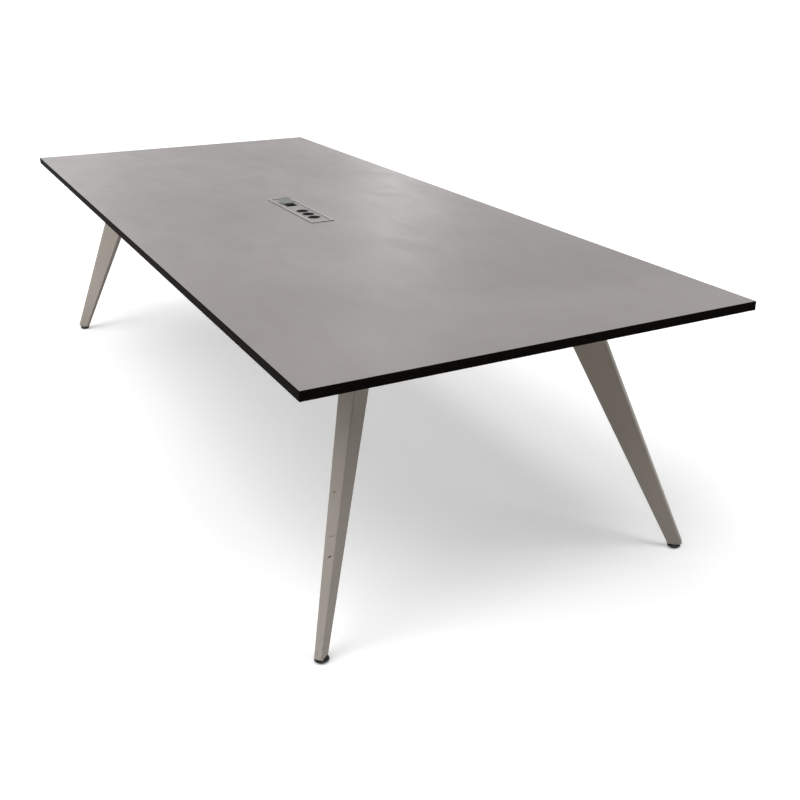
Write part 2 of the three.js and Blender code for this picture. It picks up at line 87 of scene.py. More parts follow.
class Wire:
    # a socket of a material that can stand in sums; plain numbers mix in freely
    def __init__(self, tree, socket=None):
        self.tree = tree
        self.socket = socket

    def node(self, kind, settings=None, inputs=None, out=0):
        made = self.tree.nodes.new(kind)
        for key, value in (settings or {}).items():
            setattr(made, key, value)
        for key, value in (inputs or {}).items():
            if isinstance(value, Wire):
                self.tree.links.new(value.socket, made.inputs[key])
            else:
                made.inputs[key].default_value = value
        return Wire(self.tree, made.outputs[out])

    def maths(self, operation, first, second):
        return self.node("ShaderNodeMath", {"operation": operation}, {0: first, 1: second})

    def vectors(self, operation, first, second, out=0):
        return self.node("ShaderNodeVectorMath", {"operation": operation}, {0: first, 1: second}, out)

    def __add__(self, other):
        return self.maths("ADD", self, other)

    def __radd__(self, other):
        return self.maths("ADD", other, self)

    def __rsub__(self, other):
        return self.maths("SUBTRACT", other, self)

    def __mul__(self, other):
        return self.maths("MULTIPLY", self, other)

    def above(self, edge, softness):
        # 0 below the edge, 1 above it
        return self.node("ShaderNodeMapRange", {"interpolation_type": "SMOOTHSTEP"},
                         {"Value": self, "From Min": edge - softness, "From Max": edge + softness})

    def between(self, low, high):
        return self.node("ShaderNodeMapRange", None, {"Value": self, "To Min": low, "To Max": high})

    def tint(self, first, second):
        # two colours mixed by this mask; the mixing node's colours are its sockets 6, 7 and 2
        return self.node("ShaderNodeMix", {"data_type": "RGBA"}, {0: self, 6: first, 7: second}, 2)

    def here(self):
        return self.node("ShaderNodeTexCoord", out="Object")

    def place(self, stretch=(1, 1, 1)):
        return self.node("ShaderNodeMapping", None, {"Vector": self.here(), "Scale": stretch})

    def noise(self, scale, detail=2, stretch=(1, 1, 1), rough=0.5, warp=0):
        return self.node("ShaderNodeTexNoise", None, {
            "Vector": self.place(stretch), "Scale": scale, "Detail": detail,
            "Roughness": rough, "Distortion": warp})

    def cells(self, scale):
        # one random value for each cell
        colour = self.node("ShaderNodeTexVoronoi", None, {"Vector": self.place(), "Scale": scale}, "Color")
        return self.node("ShaderNodeSeparateColor", None, {0: colour})

    def bump(self, height, strength, depth):
        return self.node("ShaderNodeBump", None,
                         {"Height": height, "Strength": strength, "Distance": depth})


def rgb(red, green, blue):
    # an sRGB colour, 0 to 255, as the linear colour that a socket takes
    shares = [value / 255 for value in (red, green, blue)]
    return (*[s / 12.92 if s <= 0.04045 else ((s + 0.055) / 1.055) ** 2.4 for s in shares], 1)


def newFinish(name):
    finish = bpy.data.materials.new(name)
    finish.use_nodes = True
    return finish, Wire(finish.node_tree)


def coat(finish, **values):
    # constants go on the shader's own sockets, wires are linked to them
    shader = finish.node_tree.nodes["Principled BSDF"]
    for key, value in values.items():
        socket = shader.inputs[key.replace("_", " ")]
        if isinstance(value, Wire):
            finish.node_tree.links.new(value.socket, socket)
        else:
            socket.default_value = value
    return finish


# finishes: a pair called edge is a mask's threshold and its softness

laminateLook = dict(
    dark=rgb(127, 122, 120), light=rgb(138, 133, 131), speck=rgb(113, 108, 106),
    cloudScale=1.3, cloudWarp=0.4, cloudEdge=(0.5, 0.22),
    smudgeScale=5.5, smudgeStretch=(1, 2.2, 1), smudgeWarp=0.8, smudgeEdge=(0.62, 0.12), smudgeShare=0.10,
    speckScale=420, speckEdge=(0.62, 0.06), speckShare=0.35,
    roughness=(0.38, 0.52), shine=0.28, grain=0.05, grainDepth=0.2 * mm,
)


def greyLaminate(look):
    finish, w = newFinish("greyLaminate")
    cloud = w.noise(look["cloudScale"], detail=3, warp=look["cloudWarp"]).above(*look["cloudEdge"])
    smudge = w.noise(look["smudgeScale"], detail=6, stretch=look["smudgeStretch"], rough=0.6,
                     warp=look["smudgeWarp"])
    specks = w.noise(look["speckScale"]).above(*look["speckEdge"])
    grain = w.noise(look["speckScale"], detail=3)
    grey = cloud.tint(look["dark"], look["light"])
    grey = (specks * look["speckShare"]).tint(grey, look["speck"])
    grey = (smudge.above(*look["smudgeEdge"]) * look["smudgeShare"]).tint(grey, look["speck"])
    return coat(finish, Base_Color=grey, Roughness=smudge.between(*look["roughness"]),
                Specular_IOR_Level=look["shine"], Normal=w.bump(grain, look["grain"], look["grainDepth"]))


edgingLook = dict(
    dark=rgb(14, 12, 11), light=rgb(23, 20, 18), streakScale=30, streakStretch=(1, 1, 14),
    streakEdge=(0.55, 0.2), roughness=(0.46, 0.60), shine=0.004,
    scrapeScale=900, scrape=0.08, scrapeDepth=0.1 * mm,
)


def blackEdging(look):
    finish, w = newFinish("blackEdging")
    streak = w.noise(look["streakScale"], detail=3, stretch=look["streakStretch"])
    scrape = w.noise(look["scrapeScale"])
    return coat(finish, Base_Color=streak.above(*look["streakEdge"]).tint(look["dark"], look["light"]),
                Roughness=streak.between(*look["roughness"]), Specular_IOR_Level=look["shine"],
                Normal=w.bump(scrape, look["scrape"], look["scrapeDepth"]))


boardLook = dict(
    dark=rgb(134, 106, 72), light=rgb(196, 168, 124), chipScale=260, roughness=0.85,
    relief=0.3, reliefDepth=0.3 * mm,
)


def rawBoard(look):
    finish, w = newFinish("rawBoard")
    chip = w.cells(look["chipScale"])
    return coat(finish, Base_Color=chip.tint(look["dark"], look["light"]), Roughness=look["roughness"],
                Normal=w.bump(chip, look["relief"], look["reliefDepth"]))


backingLook = dict(
    dark=rgb(117, 118, 120), light=rgb(131, 132, 134), cloudScale=9, roughness=(0.5, 0.7),
    grainScale=500, grain=0.06, grainDepth=0.2 * mm,
)


def greyBacking(look):
    finish, w = newFinish("greyBacking")
    cloud = w.noise(look["cloudScale"], detail=5)
    grain = w.noise(look["grainScale"])
    return coat(finish, Base_Color=cloud.tint(look["dark"], look["light"]),
                Roughness=cloud.between(*look["roughness"]),
                Normal=w.bump(grain, look["grain"], look["grainDepth"]))


legLook = dict(
    dark=rgb(164, 158, 151), light=rgb(176, 170, 163), scuff=rgb(52, 44, 40), cloudScale=7,
    peelScale=620, peel=0.10, peelDepth=0.2 * mm, roughness=(0.42, 0.55), shine=0.15,
    dirtHeight=0.05, dirtScale=130, dirtEdge=(0.6, 0.1), dirtShare=0.35,
    gritScale=700, gritEdge=(0.42, 0.12), scuffRoughness=0.2,
    footFace=(1.3889, -0.5519, 0.012),  # the outer face's lower middle, front right leg
    rake=0.4340,  # how far that face runs in for each unit of height
    # height up the leg, offset across it, slope in degrees, half length and half width
    marks=[(0.378, -0.0053, 38, 0.0042, 0.0016), (0.240, 0.0011, 34, 0.0068, 0.0021),
           (0.284, 0.0007, 24, 0.0095, 0.0006)],
    markDepth=4 * mm, markEdge=(0.8, 0.25),
)


def taupePaint(look):
    finish, w = newFinish("taupePaint")
    peel = w.noise(look["peelScale"], detail=3)
    paint = w.noise(look["cloudScale"], detail=4).tint(look["dark"], look["light"])
    where = w.here()
    height = w.node("ShaderNodeSeparateXYZ", None, {0: where}, "Z")
    lowDown = 1 - height.above(look["dirtHeight"], look["dirtHeight"])
    dirt = lowDown * w.noise(look["dirtScale"], detail=5).above(*look["dirtEdge"])
    paint = (dirt * look["dirtShare"]).tint(paint, look["scuff"])
    scuffs = sum(scuffMark(w, where, look, mark) for mark in look["marks"])
    grit = w.noise(look["gritScale"]).above(*look["gritEdge"])
    paint = (scuffs * grit).tint(paint, look["scuff"])
    return coat(finish, Base_Color=paint, Specular_IOR_Level=look["shine"],
                Roughness=peel.between(*look["roughness"]) + scuffs * look["scuffRoughness"],
                Normal=w.bump(peel, look["peel"], look["peelDepth"]))


def scuffMark(w, where, look, mark):
    # a worn ellipse on the outer face of one leg
    height, offset, slope, halfLength, halfWidth = mark
    outward = Vector((1, -1, 0)).normalized()
    across = Vector((1, 1, 0)).normalized()
    upFace = (Vector((0, 0, 1)) - outward * look["rake"]).normalized()
    foot = Vector(look["footFace"])
    middle = foot + upFace * ((height - foot.z) / upFace.z) + across * offset
    along = across * cos(radians(slope)) + upFace * sin(radians(slope))
    over = across * -sin(radians(slope)) + upFace * cos(radians(slope))
    reach = w.vectors("SUBTRACT", where, middle)
    spread = 0
    for axis, size in ((along, halfLength), (over, halfWidth), (along.cross(over), look["markDepth"])):
        share = w.vectors("DOT_PRODUCT", reach, axis / size, "Value")
        spread = share * share + spread
    return 1 - spread.above(*look["markEdge"])


frameLook = dict(
    dark=rgb(30, 30, 30), light=rgb(42, 42, 42), cloudScale=12, roughness=(0.42, 0.6),
    peelScale=520, peel=0.12, peelDepth=0.2 * mm,
)


def blackPaint(look):
    finish, w = newFinish("blackPaint")
    cloud = w.noise(look["cloudScale"], detail=4)
    peel = w.noise(look["peelScale"], detail=3)
    return coat(finish, Base_Color=cloud.tint(look["dark"], look["light"]),
                Roughness=peel.between(*look["roughness"]),
                Normal=w.bump(peel, look["peel"], look["peelDepth"]))


zincLook = dict(
    cool=rgb(172, 176, 180), warm=rgb(190, 186, 176), patchScale=160, roughness=(0.22, 0.42),
    grainScale=1400, grain=0.05, grainDepth=0.1 * mm,
)


def zincSteel(look):
    finish, w = newFinish("zincSteel")
    patch = w.noise(look["patchScale"], detail=4, rough=0.6)
    grain = w.noise(look["grainScale"])
    return coat(finish, Base_Color=patch.tint(look["cool"], look["warm"]), Metallic=1,
                Roughness=patch.between(*look["roughness"]),
                Normal=w.bump(grain, look["grain"], look["grainDepth"]))


brassLook = dict(dark=rgb(176, 138, 70), light=rgb(214, 178, 104), patchScale=300, roughness=(0.2, 0.4))


def brassContact(look):
    finish, w = newFinish("brassContact")
    patch = w.noise(look["patchScale"], detail=3)
    return coat(finish, Base_Color=patch.tint(look["dark"], look["light"]), Metallic=1,
                Roughness=patch.between(*look["roughness"]))


plasticLooks = dict(
    glide=dict(dark=rgb(15, 15, 15), light=rgb(27, 27, 26), roughness=(0.45, 0.65), wear=0.5),
    plug=dict(dark=rgb(22, 22, 22), light=rgb(32, 32, 32), roughness=(0.5, 0.65), wear=0.1),
    socket=dict(dark=rgb(42, 41, 41), light=rgb(54, 53, 52), roughness=(0.36, 0.5), wear=0.1),
    flap=dict(dark=rgb(102, 106, 101), light=rgb(112, 116, 110), roughness=(0.4, 0.52), wear=0.15),
)
plasticSkin = dict(
    cloudScale=45, rubScale=240, rubEdge=(0.66, 0.05), sparkScale=1500, spark=0.08, sparkDepth=0.08 * mm,
)


def mouldedPlastic(name, look, skinLook):
    finish, w = newFinish(name + "Plastic")
    spark = w.noise(skinLook["sparkScale"])
    shade = w.noise(skinLook["cloudScale"], detail=4).tint(look["dark"], look["light"])
    rub = w.noise(skinLook["rubScale"], detail=5).above(*skinLook["rubEdge"]) * look["wear"]
    return coat(finish, Base_Color=rub.tint(shade, look["light"]),
                Roughness=spark.between(*look["roughness"]),
                Normal=w.bump(spark, skinLook["spark"], skinLook["sparkDepth"]))


# side is a painted shade, darker than the metal, for the walls that face outward
silverLooks = dict(
    module=dict(dark=rgb(143, 140, 138), light=rgb(158, 155, 153), side=rgb(112, 109, 107), metal=0.6,
                roughness=(0.34, 0.48)),
    face=dict(dark=rgb(121, 118, 117), light=rgb(134, 131, 130), side=rgb(112, 109, 107), metal=0.5,
              roughness=(0.4, 0.54)),
)
silverBrushing = dict(scale=260, stretch=(0.06, 3, 3), relief=0.06, depth=0.1 * mm, shadedWallEdge=(0.012, 0.004))


def brushedSilver(name, look, brushing):
    finish, w = newFinish(name + "Silver")
    line = w.noise(brushing["scale"], detail=3, stretch=brushing["stretch"])
    # walls that face away from the middle take the side colour, a painted shade for the dark shadow line
    # along the rim's foot
    normal = w.node("ShaderNodeNewGeometry", out="True Normal")
    level = w.vectors("MULTIPLY", normal, (1, 1, 0))
    outward = w.vectors("DOT_PRODUCT", level, w.place(), "Value")
    face = 1 - outward.above(*brushing["shadedWallEdge"])
    return coat(finish, Base_Color=face.tint(look["side"], line.tint(look["dark"], look["light"])),
                Metallic=look["metal"], Roughness=line.between(*look["roughness"]),
                Normal=w.bump(line, brushing["relief"], brushing["depth"]))


housingLook = dict(
    dark=rgb(98, 101, 104), light=rgb(136, 139, 142), spangleScale=150, metal=0.9, roughness=(0.32, 0.5),
)


def galvanisedSheet(look):
    finish, w = newFinish("galvanisedSheet")
    spangle = w.cells(look["spangleScale"])
    return coat(finish, Base_Color=spangle.tint(look["dark"], look["light"]), Metallic=look["metal"],
                Roughness=spangle.between(*look["roughness"]))


finishes = dict(
    laminate=greyLaminate(laminateLook),
    board=rawBoard(boardLook),
    backing=greyBacking(backingLook),
    edge_band=blackEdging(edgingLook),
    leg_paint=taupePaint(legLook),
    frame_paint=blackPaint(frameLook),
    zinc_steel=zincSteel(zincLook),
    housing_metal=galvanisedSheet(housingLook),
    brass=brassContact(brassLook),
    module_silver=brushedSilver("module", silverLooks["module"], silverBrushing),
    face_silver=brushedSilver("face", silverLooks["face"], silverBrushing),
    glide_plastic=mouldedPlastic("glide", plasticLooks["glide"], plasticSkin),
    plug_plastic=mouldedPlastic("plug", plasticLooks["plug"], plasticSkin),
    socket_black=mouldedPlastic("socket", plasticLooks["socket"], plasticSkin),
    flap_grey=mouldedPlastic("flap", plasticLooks["flap"], plasticSkin),
)
print("finishes made:", len(finishes))

# mesh helpers

crease = 42  # degrees; an edge that turns more than this is a sharp one
flatTurn = 1  # degrees; faces that turn less than this are one face
chamferTurn = 30  # degrees; the slope of the cut on a hexagon's corners
seamGap = 0.01 * mm


def newPiece(name, mesh, slot, body="table", nodes=(), finish=None, sharp=crease):
    # a finished mesh goes into the scene, smooth but for its sharp edges, and rides on a body
    bmesh.ops.recalc_face_normals(mesh, faces=mesh.faces)
    data = bpy.data.meshes.new(name)
    mesh.to_mesh(data)
    mesh.free()
    data.polygons.foreach_set("use_smooth", [True] * len(data.polygons))
    data.set_sharp_from_angle(angle=radians(sharp))
    data.materials.append(finishes[finish or slot])
    piece = bpy.data.objects.new(name, data)
    scene.collection.objects.link(piece)
    flatten = piece.modifiers.new("flat faces stay flat", "WEIGHTED_NORMAL")
    flatten.keep_sharp = True
    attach(piece, body)
    if nodes:
        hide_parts(*nodes)
    return piece


def bevelEdges(mesh, width, segments):
    edges = [e for e in mesh.edges if e.is_manifold and e.calc_face_angle(0) > radians(crease)]
    bmesh.ops.bevel(mesh, geom=edges, offset=width, offset_type="OFFSET", segments=segments,
                    profile=0.5, affect="EDGES", clamp_overlap=True)


def dress(node, slot, bevel=0.0, segments=2, body="table"):
    # the node's own form, welded into whole faces, with softened edges
    mesh = bmesh.new()
    mesh.from_mesh(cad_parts[node].data)
    bmesh.ops.remove_doubles(mesh, verts=mesh.verts, dist=seamGap)
    bmesh.ops.dissolve_limit(mesh, angle_limit=radians(flatTurn), verts=mesh.verts, edges=mesh.edges)
    if bevel:
        bevelEdges(mesh, bevel, segments)
    newPiece(node + "_dressed", mesh, slot, body, [node])


def skin(mesh, rings, closed=False):
    # faces between rings of as many points; the ends are capped unless the run closes on itself
    loops = [[mesh.verts.new(point) for point in ring] for ring in rings]
    pairs = list(zip(loops, loops[1:]))
    if closed:
        pairs.append((loops[-1], loops[0]))
    for lower, upper in pairs:
        count = len(lower)
        for i in range(count):
            j = (i + 1) % count
            mesh.faces.new((lower[i], lower[j], upper[j], upper[i]))
    if not closed:
        mesh.faces.new(loops[0])
        mesh.faces.new(loops[-1])
    return mesh


def turned(profile, count, centre=(0, 0), radiusAt=None):
    # rings about an upright axis; radiusAt may shape a ring by its angle
    rings = []
    for radius, z in profile:
        ring = []
        for i in range(count):
            angle = 2 * pi * i / count
            reach = radiusAt(radius, z, angle) if radiusAt else radius
            ring.append((centre[0] + reach * cos(angle), centre[1] + reach * sin(angle), z))
        rings.append(ring)
    return rings


def hexRing(flats, count, centre, heightAt):
    # a hexagon of a width across flats; heightAt sets a point's height by its distance from the middle
    ring = []
    for i in range(count):
        angle = 2 * pi * i / count
        reach = flats / 2 / cos(angle % (pi / 3) - pi / 6)
        ring.append((centre.x + reach * cos(angle), centre.y + reach * sin(angle), heightAt(reach)))
    return ring


def cornerCut(reach, crown):
    # how much the turned chamfer takes off a hexagon's corners
    return max(0, reach - crown) * tan(radians(chamferTurn))


def arc(centreX, centreY, radius, start, stop, steps=6):
    angles = [radians(start + (stop - start) * i / steps) for i in range(steps + 1)]
    return [(centreX + radius * cos(a), centreY + radius * sin(a)) for a in angles]


def roundedOutline(width, height, radius, steps=6):
    x, y = width / 2 - radius, height / 2 - radius
    return (arc(x, y, radius, 0, 90, steps) + arc(-x, y, radius, 90, 180, steps)
            + arc(-x, -y, radius, 180, 270, steps) + arc(x, -y, radius, 270, 360, steps))


def pointsAlong(path, step):
    # a polyline divided into even steps
    points = []
    for start, stop in zip(path, path[1:]):
        count = max(1, round((stop - start).length / step))
        points += [start.lerp(stop, i / count) for i in range(count)]
    return points + [path[-1]]


def ringsAlong(points, bead, closed):
    # round sections across a path, swelling and narrowing like a weld's ripples
    aside = Vector((0.31, 0.17, 0.94))  # a direction that no path follows
    angles = [2 * pi * k / bead["sides"] for k in range(bead["sides"])]
    rings = []
    last = len(points) - 1
    for i, point in enumerate(points):
        before = points[i - 1] if i or closed else point
        after = points[(i + 1) % len(points)] if i < last or closed else point
        ahead = (after - before).normalized()
        side = ahead.cross(aside).normalized()
        up = side.cross(ahead)
        swell = bead["radius"] * (1 + bead["ripple"] * cos(2 * pi * i / bead["rippleSteps"]))
        rings.append([point + side * swell * cos(a) + up * swell * sin(a) for a in angles])
    return rings


def weld(name, path, slot, bead, closed=False):
    points = pointsAlong(path, bead["step"])
    if closed:
        points.pop()
    newPiece(name, skin(bmesh.new(), ringsAlong(points, bead, closed), closed), slot, sharp=bead["sharp"])


# top: the sheets keep their solids, and the bands are smoothed over their arrises

for node, slot in dict(top_laminate="laminate", top_core="board", top_backing="backing").items():
    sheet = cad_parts[node]
    sheet.data.materials.clear()
    sheet.data.materials.append(finishes[slot])

for name in [*sides, *ends]:
    dress("edge_band_" + name, "edge_band")
print("top dressed")

# legs: blades with softened edges, welded to their plates

legSizes = dict(edge=0.4 * mm, plateEdge=1.2 * mm, plateSegments=3, rimHeight=0.1 * mm)
legBead = dict(radius=3.2 * mm, step=1.6 * mm, sides=8, ripple=0.14, rippleSteps=3, sharp=80)


def headOutline(node, sizes):
    # points round the top of the leg's head, the farthest one in each direction
    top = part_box(node)[1].z
    rim = [v.co.copy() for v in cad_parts[node].data.vertices if v.co.z > top - sizes["rimHeight"]]
    low = Vector([min(p[i] for p in rim) for i in range(3)])
    high = Vector([max(p[i] for p in rim) for i in range(3)])
    middle = (low + high) / 2
    directions = {}
    for point in rim:
        reach = point - middle
        angle = round(reach.to_2d().angle_signed(Vector((1, 0))), 2)
        if angle not in directions or directions[angle].length < reach.length:
            directions[angle] = reach
    return [middle + directions[angle] for angle in sorted(directions)]


def halfRound(points):
    # the points that bulge to one side of a run
    kept = []
    for point in points:
        while len(kept) > 1 and turnOf(kept[-2], kept[-1], point) <= 0:
            kept.pop()
        kept.append(point)
    return kept[:-1]


def convexRound(points):
    # the points of a ring that bulge outward, which drops those of the inner wall
    inOrder = sorted(points, key=lambda p: (p.x, p.y))
    return halfRound(inOrder) + halfRound(inOrder[::-1])


def turnOf(a, b, c):
    return (b.x - a.x) * (c.y - a.y) - (b.y - a.y) * (c.x - a.x)


for corner in corners:
    dress("leg_" + corner, "leg_paint", legSizes["edge"])
    dress("leg_plug_" + corner, "plug_plastic", legSizes["edge"])
    dress("leg_plate_" + corner, "leg_paint", legSizes["plateEdge"], legSizes["plateSegments"])
    outline = convexRound(headOutline("leg_" + corner, legSizes))
    weld("leg_weld_" + corner, outline + outline[:1], "leg_paint", legBead, closed=True)
print("legs dressed")

# feet: a threaded stem with a hexagonal collar, turning in a round glide

padSizes = dict(
    sides=72, foot=13.5 * mm, edge=0.8 * mm, topEdge=2 * mm, coneHeight=5 * mm,
    coneTurn=-42,  # degrees
    groove=0.35 * mm, grooveHeight=6.2 * mm, socket=5.3 * mm, socketFloor=5 * mm, socketLip=0.4 * mm,
    middle=0.5 * mm,
)


def glidePad(corner, sizes):
    low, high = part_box("foot_pad_" + corner)
    radius = (high.y - low.y) / 2
    edge, topEdge, cone = sizes["edge"], sizes["topEdge"], sizes["coneTurn"]
    groove, grooveHeight = sizes["groove"], sizes["grooveHeight"]
    socket, socketFloor, lip = sizes["socket"], sizes["socketFloor"], sizes["socketLip"]
    profile = [(sizes["middle"], 0)] + arc(sizes["foot"] - edge, edge, edge, -90, cone, steps=3)
    profile += arc(radius - edge, sizes["coneHeight"], edge, cone, 0, steps=3)
    profile += [(radius, grooveHeight - groove), (radius - groove, grooveHeight),
                (radius, grooveHeight + groove)]
    profile += arc(radius - topEdge, high.z - topEdge, topEdge, 0, 90)
    profile += [(socket + lip, high.z), (socket, high.z - lip), (socket, socketFloor),
                (sizes["middle"], socketFloor)]
    mesh = skin(bmesh.new(), turned(profile, sizes["sides"], (low + high) / 2))
    newPiece("glide_pad_" + corner, mesh, "glide_plastic", "pad_" + corner, ["foot_pad_" + corner])


stemSizes = dict(
    sides=48, radius=5 * mm, footEdge=0.6 * mm, collar=17 * mm, collarTop=11.7 * mm, collarHeight=2.4 * mm,
    collarCrown=8.262 * mm, pitch=1.5 * mm, threadDepth=0.75 * mm, stepsPerTurn=8, threadStart=0.4 * mm,
    runOut=0.2 * mm, tip=1.2 * mm, tipRadius=3 * mm, sharp=35,
)


def threadedStem(corner, sizes):
    low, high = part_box("foot_stem_" + corner)
    centre = (low + high) / 2
    count, radius, edge = sizes["sides"], sizes["radius"], sizes["footEdge"]
    flats, crown, collarTop = sizes["collar"], sizes["collarCrown"], sizes["collarTop"]
    collarLow = collarTop - sizes["collarHeight"]
    root = radius - sizes["threadDepth"]
    start, stop = collarTop + sizes["threadStart"], high.z - sizes["tip"]
    steps = round((stop - start) / sizes["pitch"] * sizes["stepsPerTurn"])
    thread = [(radius, start + (stop - start) * i / steps) for i in range(steps + 1)]

    def threadReach(reach, z, angle):
        turn = (z / sizes["pitch"] - angle / (2 * pi)) % 1
        return reach - sizes["threadDepth"] * (1 - abs(2 * turn - 1))

    foot = [(radius - edge, low.z), (radius, low.z + edge), (radius, collarLow), (crown, collarLow)]
    rings = turned(foot, count, centre)
    rings.append(hexRing(flats, count, centre, lambda reach: collarLow + cornerCut(reach, crown)))
    rings.append(hexRing(flats, count, centre, lambda reach: collarTop - cornerCut(reach, crown)))
    rings += turned([(crown, collarTop), (root, collarTop)], count, centre)
    rings += turned(thread, count, centre, threadReach)
    rings += turned([(root, stop + sizes["runOut"]), (sizes["tipRadius"], high.z)], count, centre)
    newPiece("threaded_stem_" + corner, skin(bmesh.new(), rings), "zinc_steel", "stem_" + corner,
             ["foot_stem_" + corner], sharp=sizes["sharp"])


for corner in corners:
    glidePad(corner, padSizes)
    threadedStem(corner, stemSizes)
print("feet made")

# underframe: welded tubes with capped ends, bolts below and screws into the board

tubeEdge = 0.3 * mm
capSizes = dict(
    thick=2.5 * mm, corner=4 * mm, edge=1.2 * mm, inset=0.2 * mm, spigot=14 * mm, leadIn=3 * mm,
    tubeWall=2 * mm, slack=0.6 * mm,
)


def tubeCap(name, end, sizes):
    low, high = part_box("side_rail_" + name)
    sign = ends[end]
    face = high.x if sign > 0 else low.x
    width = high.y - low.y
    centre = (low + high) / 2
    spigot, leadIn, edge = sizes["spigot"], sizes["leadIn"], sizes["edge"]
    inner = width - 2 * sizes["tubeWall"] - sizes["slack"]
    # distance out of the tube, and the width there
    stations = [(-spigot, inner - leadIn), (leadIn - spigot, inner), (0, inner), (0, width - sizes["inset"])]
    rounding = arc(sizes["thick"] - edge, edge, edge, -90, 0, steps=4)
    stations += [(out, width - 2 * inset) for out, inset in rounding]
    rings = [[(face + sign * out, centre.y + y, centre.z + z)
              for y, z in roundedOutline(size, size, sizes["corner"])] for out, size in stations]
    newPiece("tube_cap_" + name + "_" + end, skin(bmesh.new(), rings), "plug_plastic")


tubeBead = dict(radius=2.6 * mm, step=1.5 * mm, sides=8, ripple=0.14, rippleSteps=3, sharp=80, topGap=1 * mm)


def jointWeld(rail, side, bead):
    # down one flank of the cross tube, along below it and up the other
    low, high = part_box(rail)
    y = high.y if sides[side] > 0 else low.y
    top = high.z - bead["topGap"]
    path = [Vector((x, y, z)) for x, z in ((low.x, top), (low.x, low.z), (high.x, low.z), (high.x, top))]
    weld("tube_weld_" + rail + "_" + side, path, "frame_paint", bead)


boltSizes = dict(
    sides=72, flats=13 * mm, head=5.3 * mm, crownShare=0.95, washer=0.4 * mm, shank=4 * mm, tip=0.8 * mm,
    middle=0.4 * mm, sharp=32,
)


def hexBolt(node, sizes):
    low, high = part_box(node)
    centre = (low + high) / 2
    count, flats, shank, tip = sizes["sides"], sizes["flats"], sizes["shank"], sizes["tip"]
    crown = flats / 2 * sizes["crownShare"]
    seat = low.z + sizes["head"]
    washer = seat - sizes["washer"]
    rings = turned([(sizes["middle"], low.z), (crown, low.z)], count, centre)
    rings.append(hexRing(flats, count, centre, lambda reach: low.z + cornerCut(reach, crown)))
    rings.append(hexRing(flats, count, centre, lambda reach: washer))
    shaft = [(crown, washer), (crown, seat), (shank, seat), (shank, high.z - tip), (shank - tip, high.z)]
    rings += turned(shaft, count, centre)
    newPiece(node + "_turned", skin(bmesh.new(), rings), "zinc_steel", nodes=[node], sharp=sizes["sharp"])


# shares of the head's height and of the drive's reach, and angles in degrees
headShape = dict(brim=0.35, domeAngles=(15, 30, 45, 58), mouth=0.93, floor=0.92, lobes=6, lobeDepth=0.16)


def panHead(sizes, shape):
    # a screw's head, crown upward, with a lobed recess
    radius, height = sizes["head"], sizes["headHeight"]
    drive, deep = sizes["driveReach"], sizes["driveDepth"]
    brim = shape["brim"] * height
    dome = height - brim

    def lobed(reach, z, angle):
        return reach * (1 + shape["lobeDepth"] * cos(shape["lobes"] * angle))

    profile = [(radius, 0), (radius, brim)]
    profile += [(radius * cos(radians(a)), brim + dome * sin(radians(a))) for a in shape["domeAngles"]]
    recess = [(drive, shape["mouth"] * height), (shape["floor"] * drive, height - deep)]
    return turned(profile, sizes["sides"]) + turned(recess, sizes["sides"], radiusAt=lobed)


woodScrewSizes = dict(
    sides=60, head=5 * mm, headHeight=3 * mm, driveReach=2.2 * mm, driveDepth=1.6 * mm, shank=2.5 * mm,
    neck=2 * mm, neckHeight=0.5 * mm, turns=8, root=1.875 * mm, flank=0.7 * mm,
    point=4 * mm, pointRadius=1.75 * mm, pointStart=0.5 * mm, tip=0.3 * mm, sharp=32,
)


def woodScrew(node, sizes):
    low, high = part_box(node)
    centre = (low + high) / 2
    seat = low.z + sizes["headHeight"]
    rings = [[(centre.x + x, centre.y - y, seat - z) for x, y, z in ring]
             for ring in reversed(panHead(sizes, headShape))]
    start, stop = seat + sizes["neckHeight"], high.z - sizes["point"]
    profile = [(sizes["shank"], seat), (sizes["neck"], start)]
    for i in range(sizes["turns"]):
        z = start + (stop - start) * (i + 0.5) / sizes["turns"]
        profile += [(sizes["shank"], z), (sizes["root"], z + sizes["flank"])]
    profile += [(sizes["pointRadius"], stop + sizes["pointStart"]), (sizes["tip"], high.z)]
    rings += turned(profile, sizes["sides"], centre)
    newPiece(node + "_turned", skin(bmesh.new(), rings), "zinc_steel", nodes=[node], sharp=sizes["sharp"])


for name in sides:
    dress("side_rail_" + name, "frame_paint", tubeEdge)
    for end in ends:
        tubeCap(name, end, capSizes)
for kind in ("end_rail_", "middle_rail_"):
    for end in ends:
        dress(kind + end, "frame_paint", tubeEdge)
        for side in sides:
            jointWeld(kind + end, side, tubeBead)
for corner in corners:
    hexBolt("side_bolt_" + corner, boltSizes)
    hexBolt("end_bolt_" + corner, boltSizes)
for number in range(1, 7):
    woodScrew("top_screw_%d" % number, woodScrewSizes)
print("underframe dressed")

# power module: bezel, face plate, sockets, data bay with its flap, and what hangs below

socketSizes = dict(
    sides=72, recess=19 * mm, rim=21 * mm, barrel=23 * mm, rimRound=0.5 * mm, recessRound=1.5 * mm,
    blockRise=0.3 * mm,  # how far the data block stands above the face plate
    shoulder=2.3 * mm, depth=17 * mm, footEdge=1 * mm, shoulderEdge=0.4 * mm, middle=0.5 * mm,
)


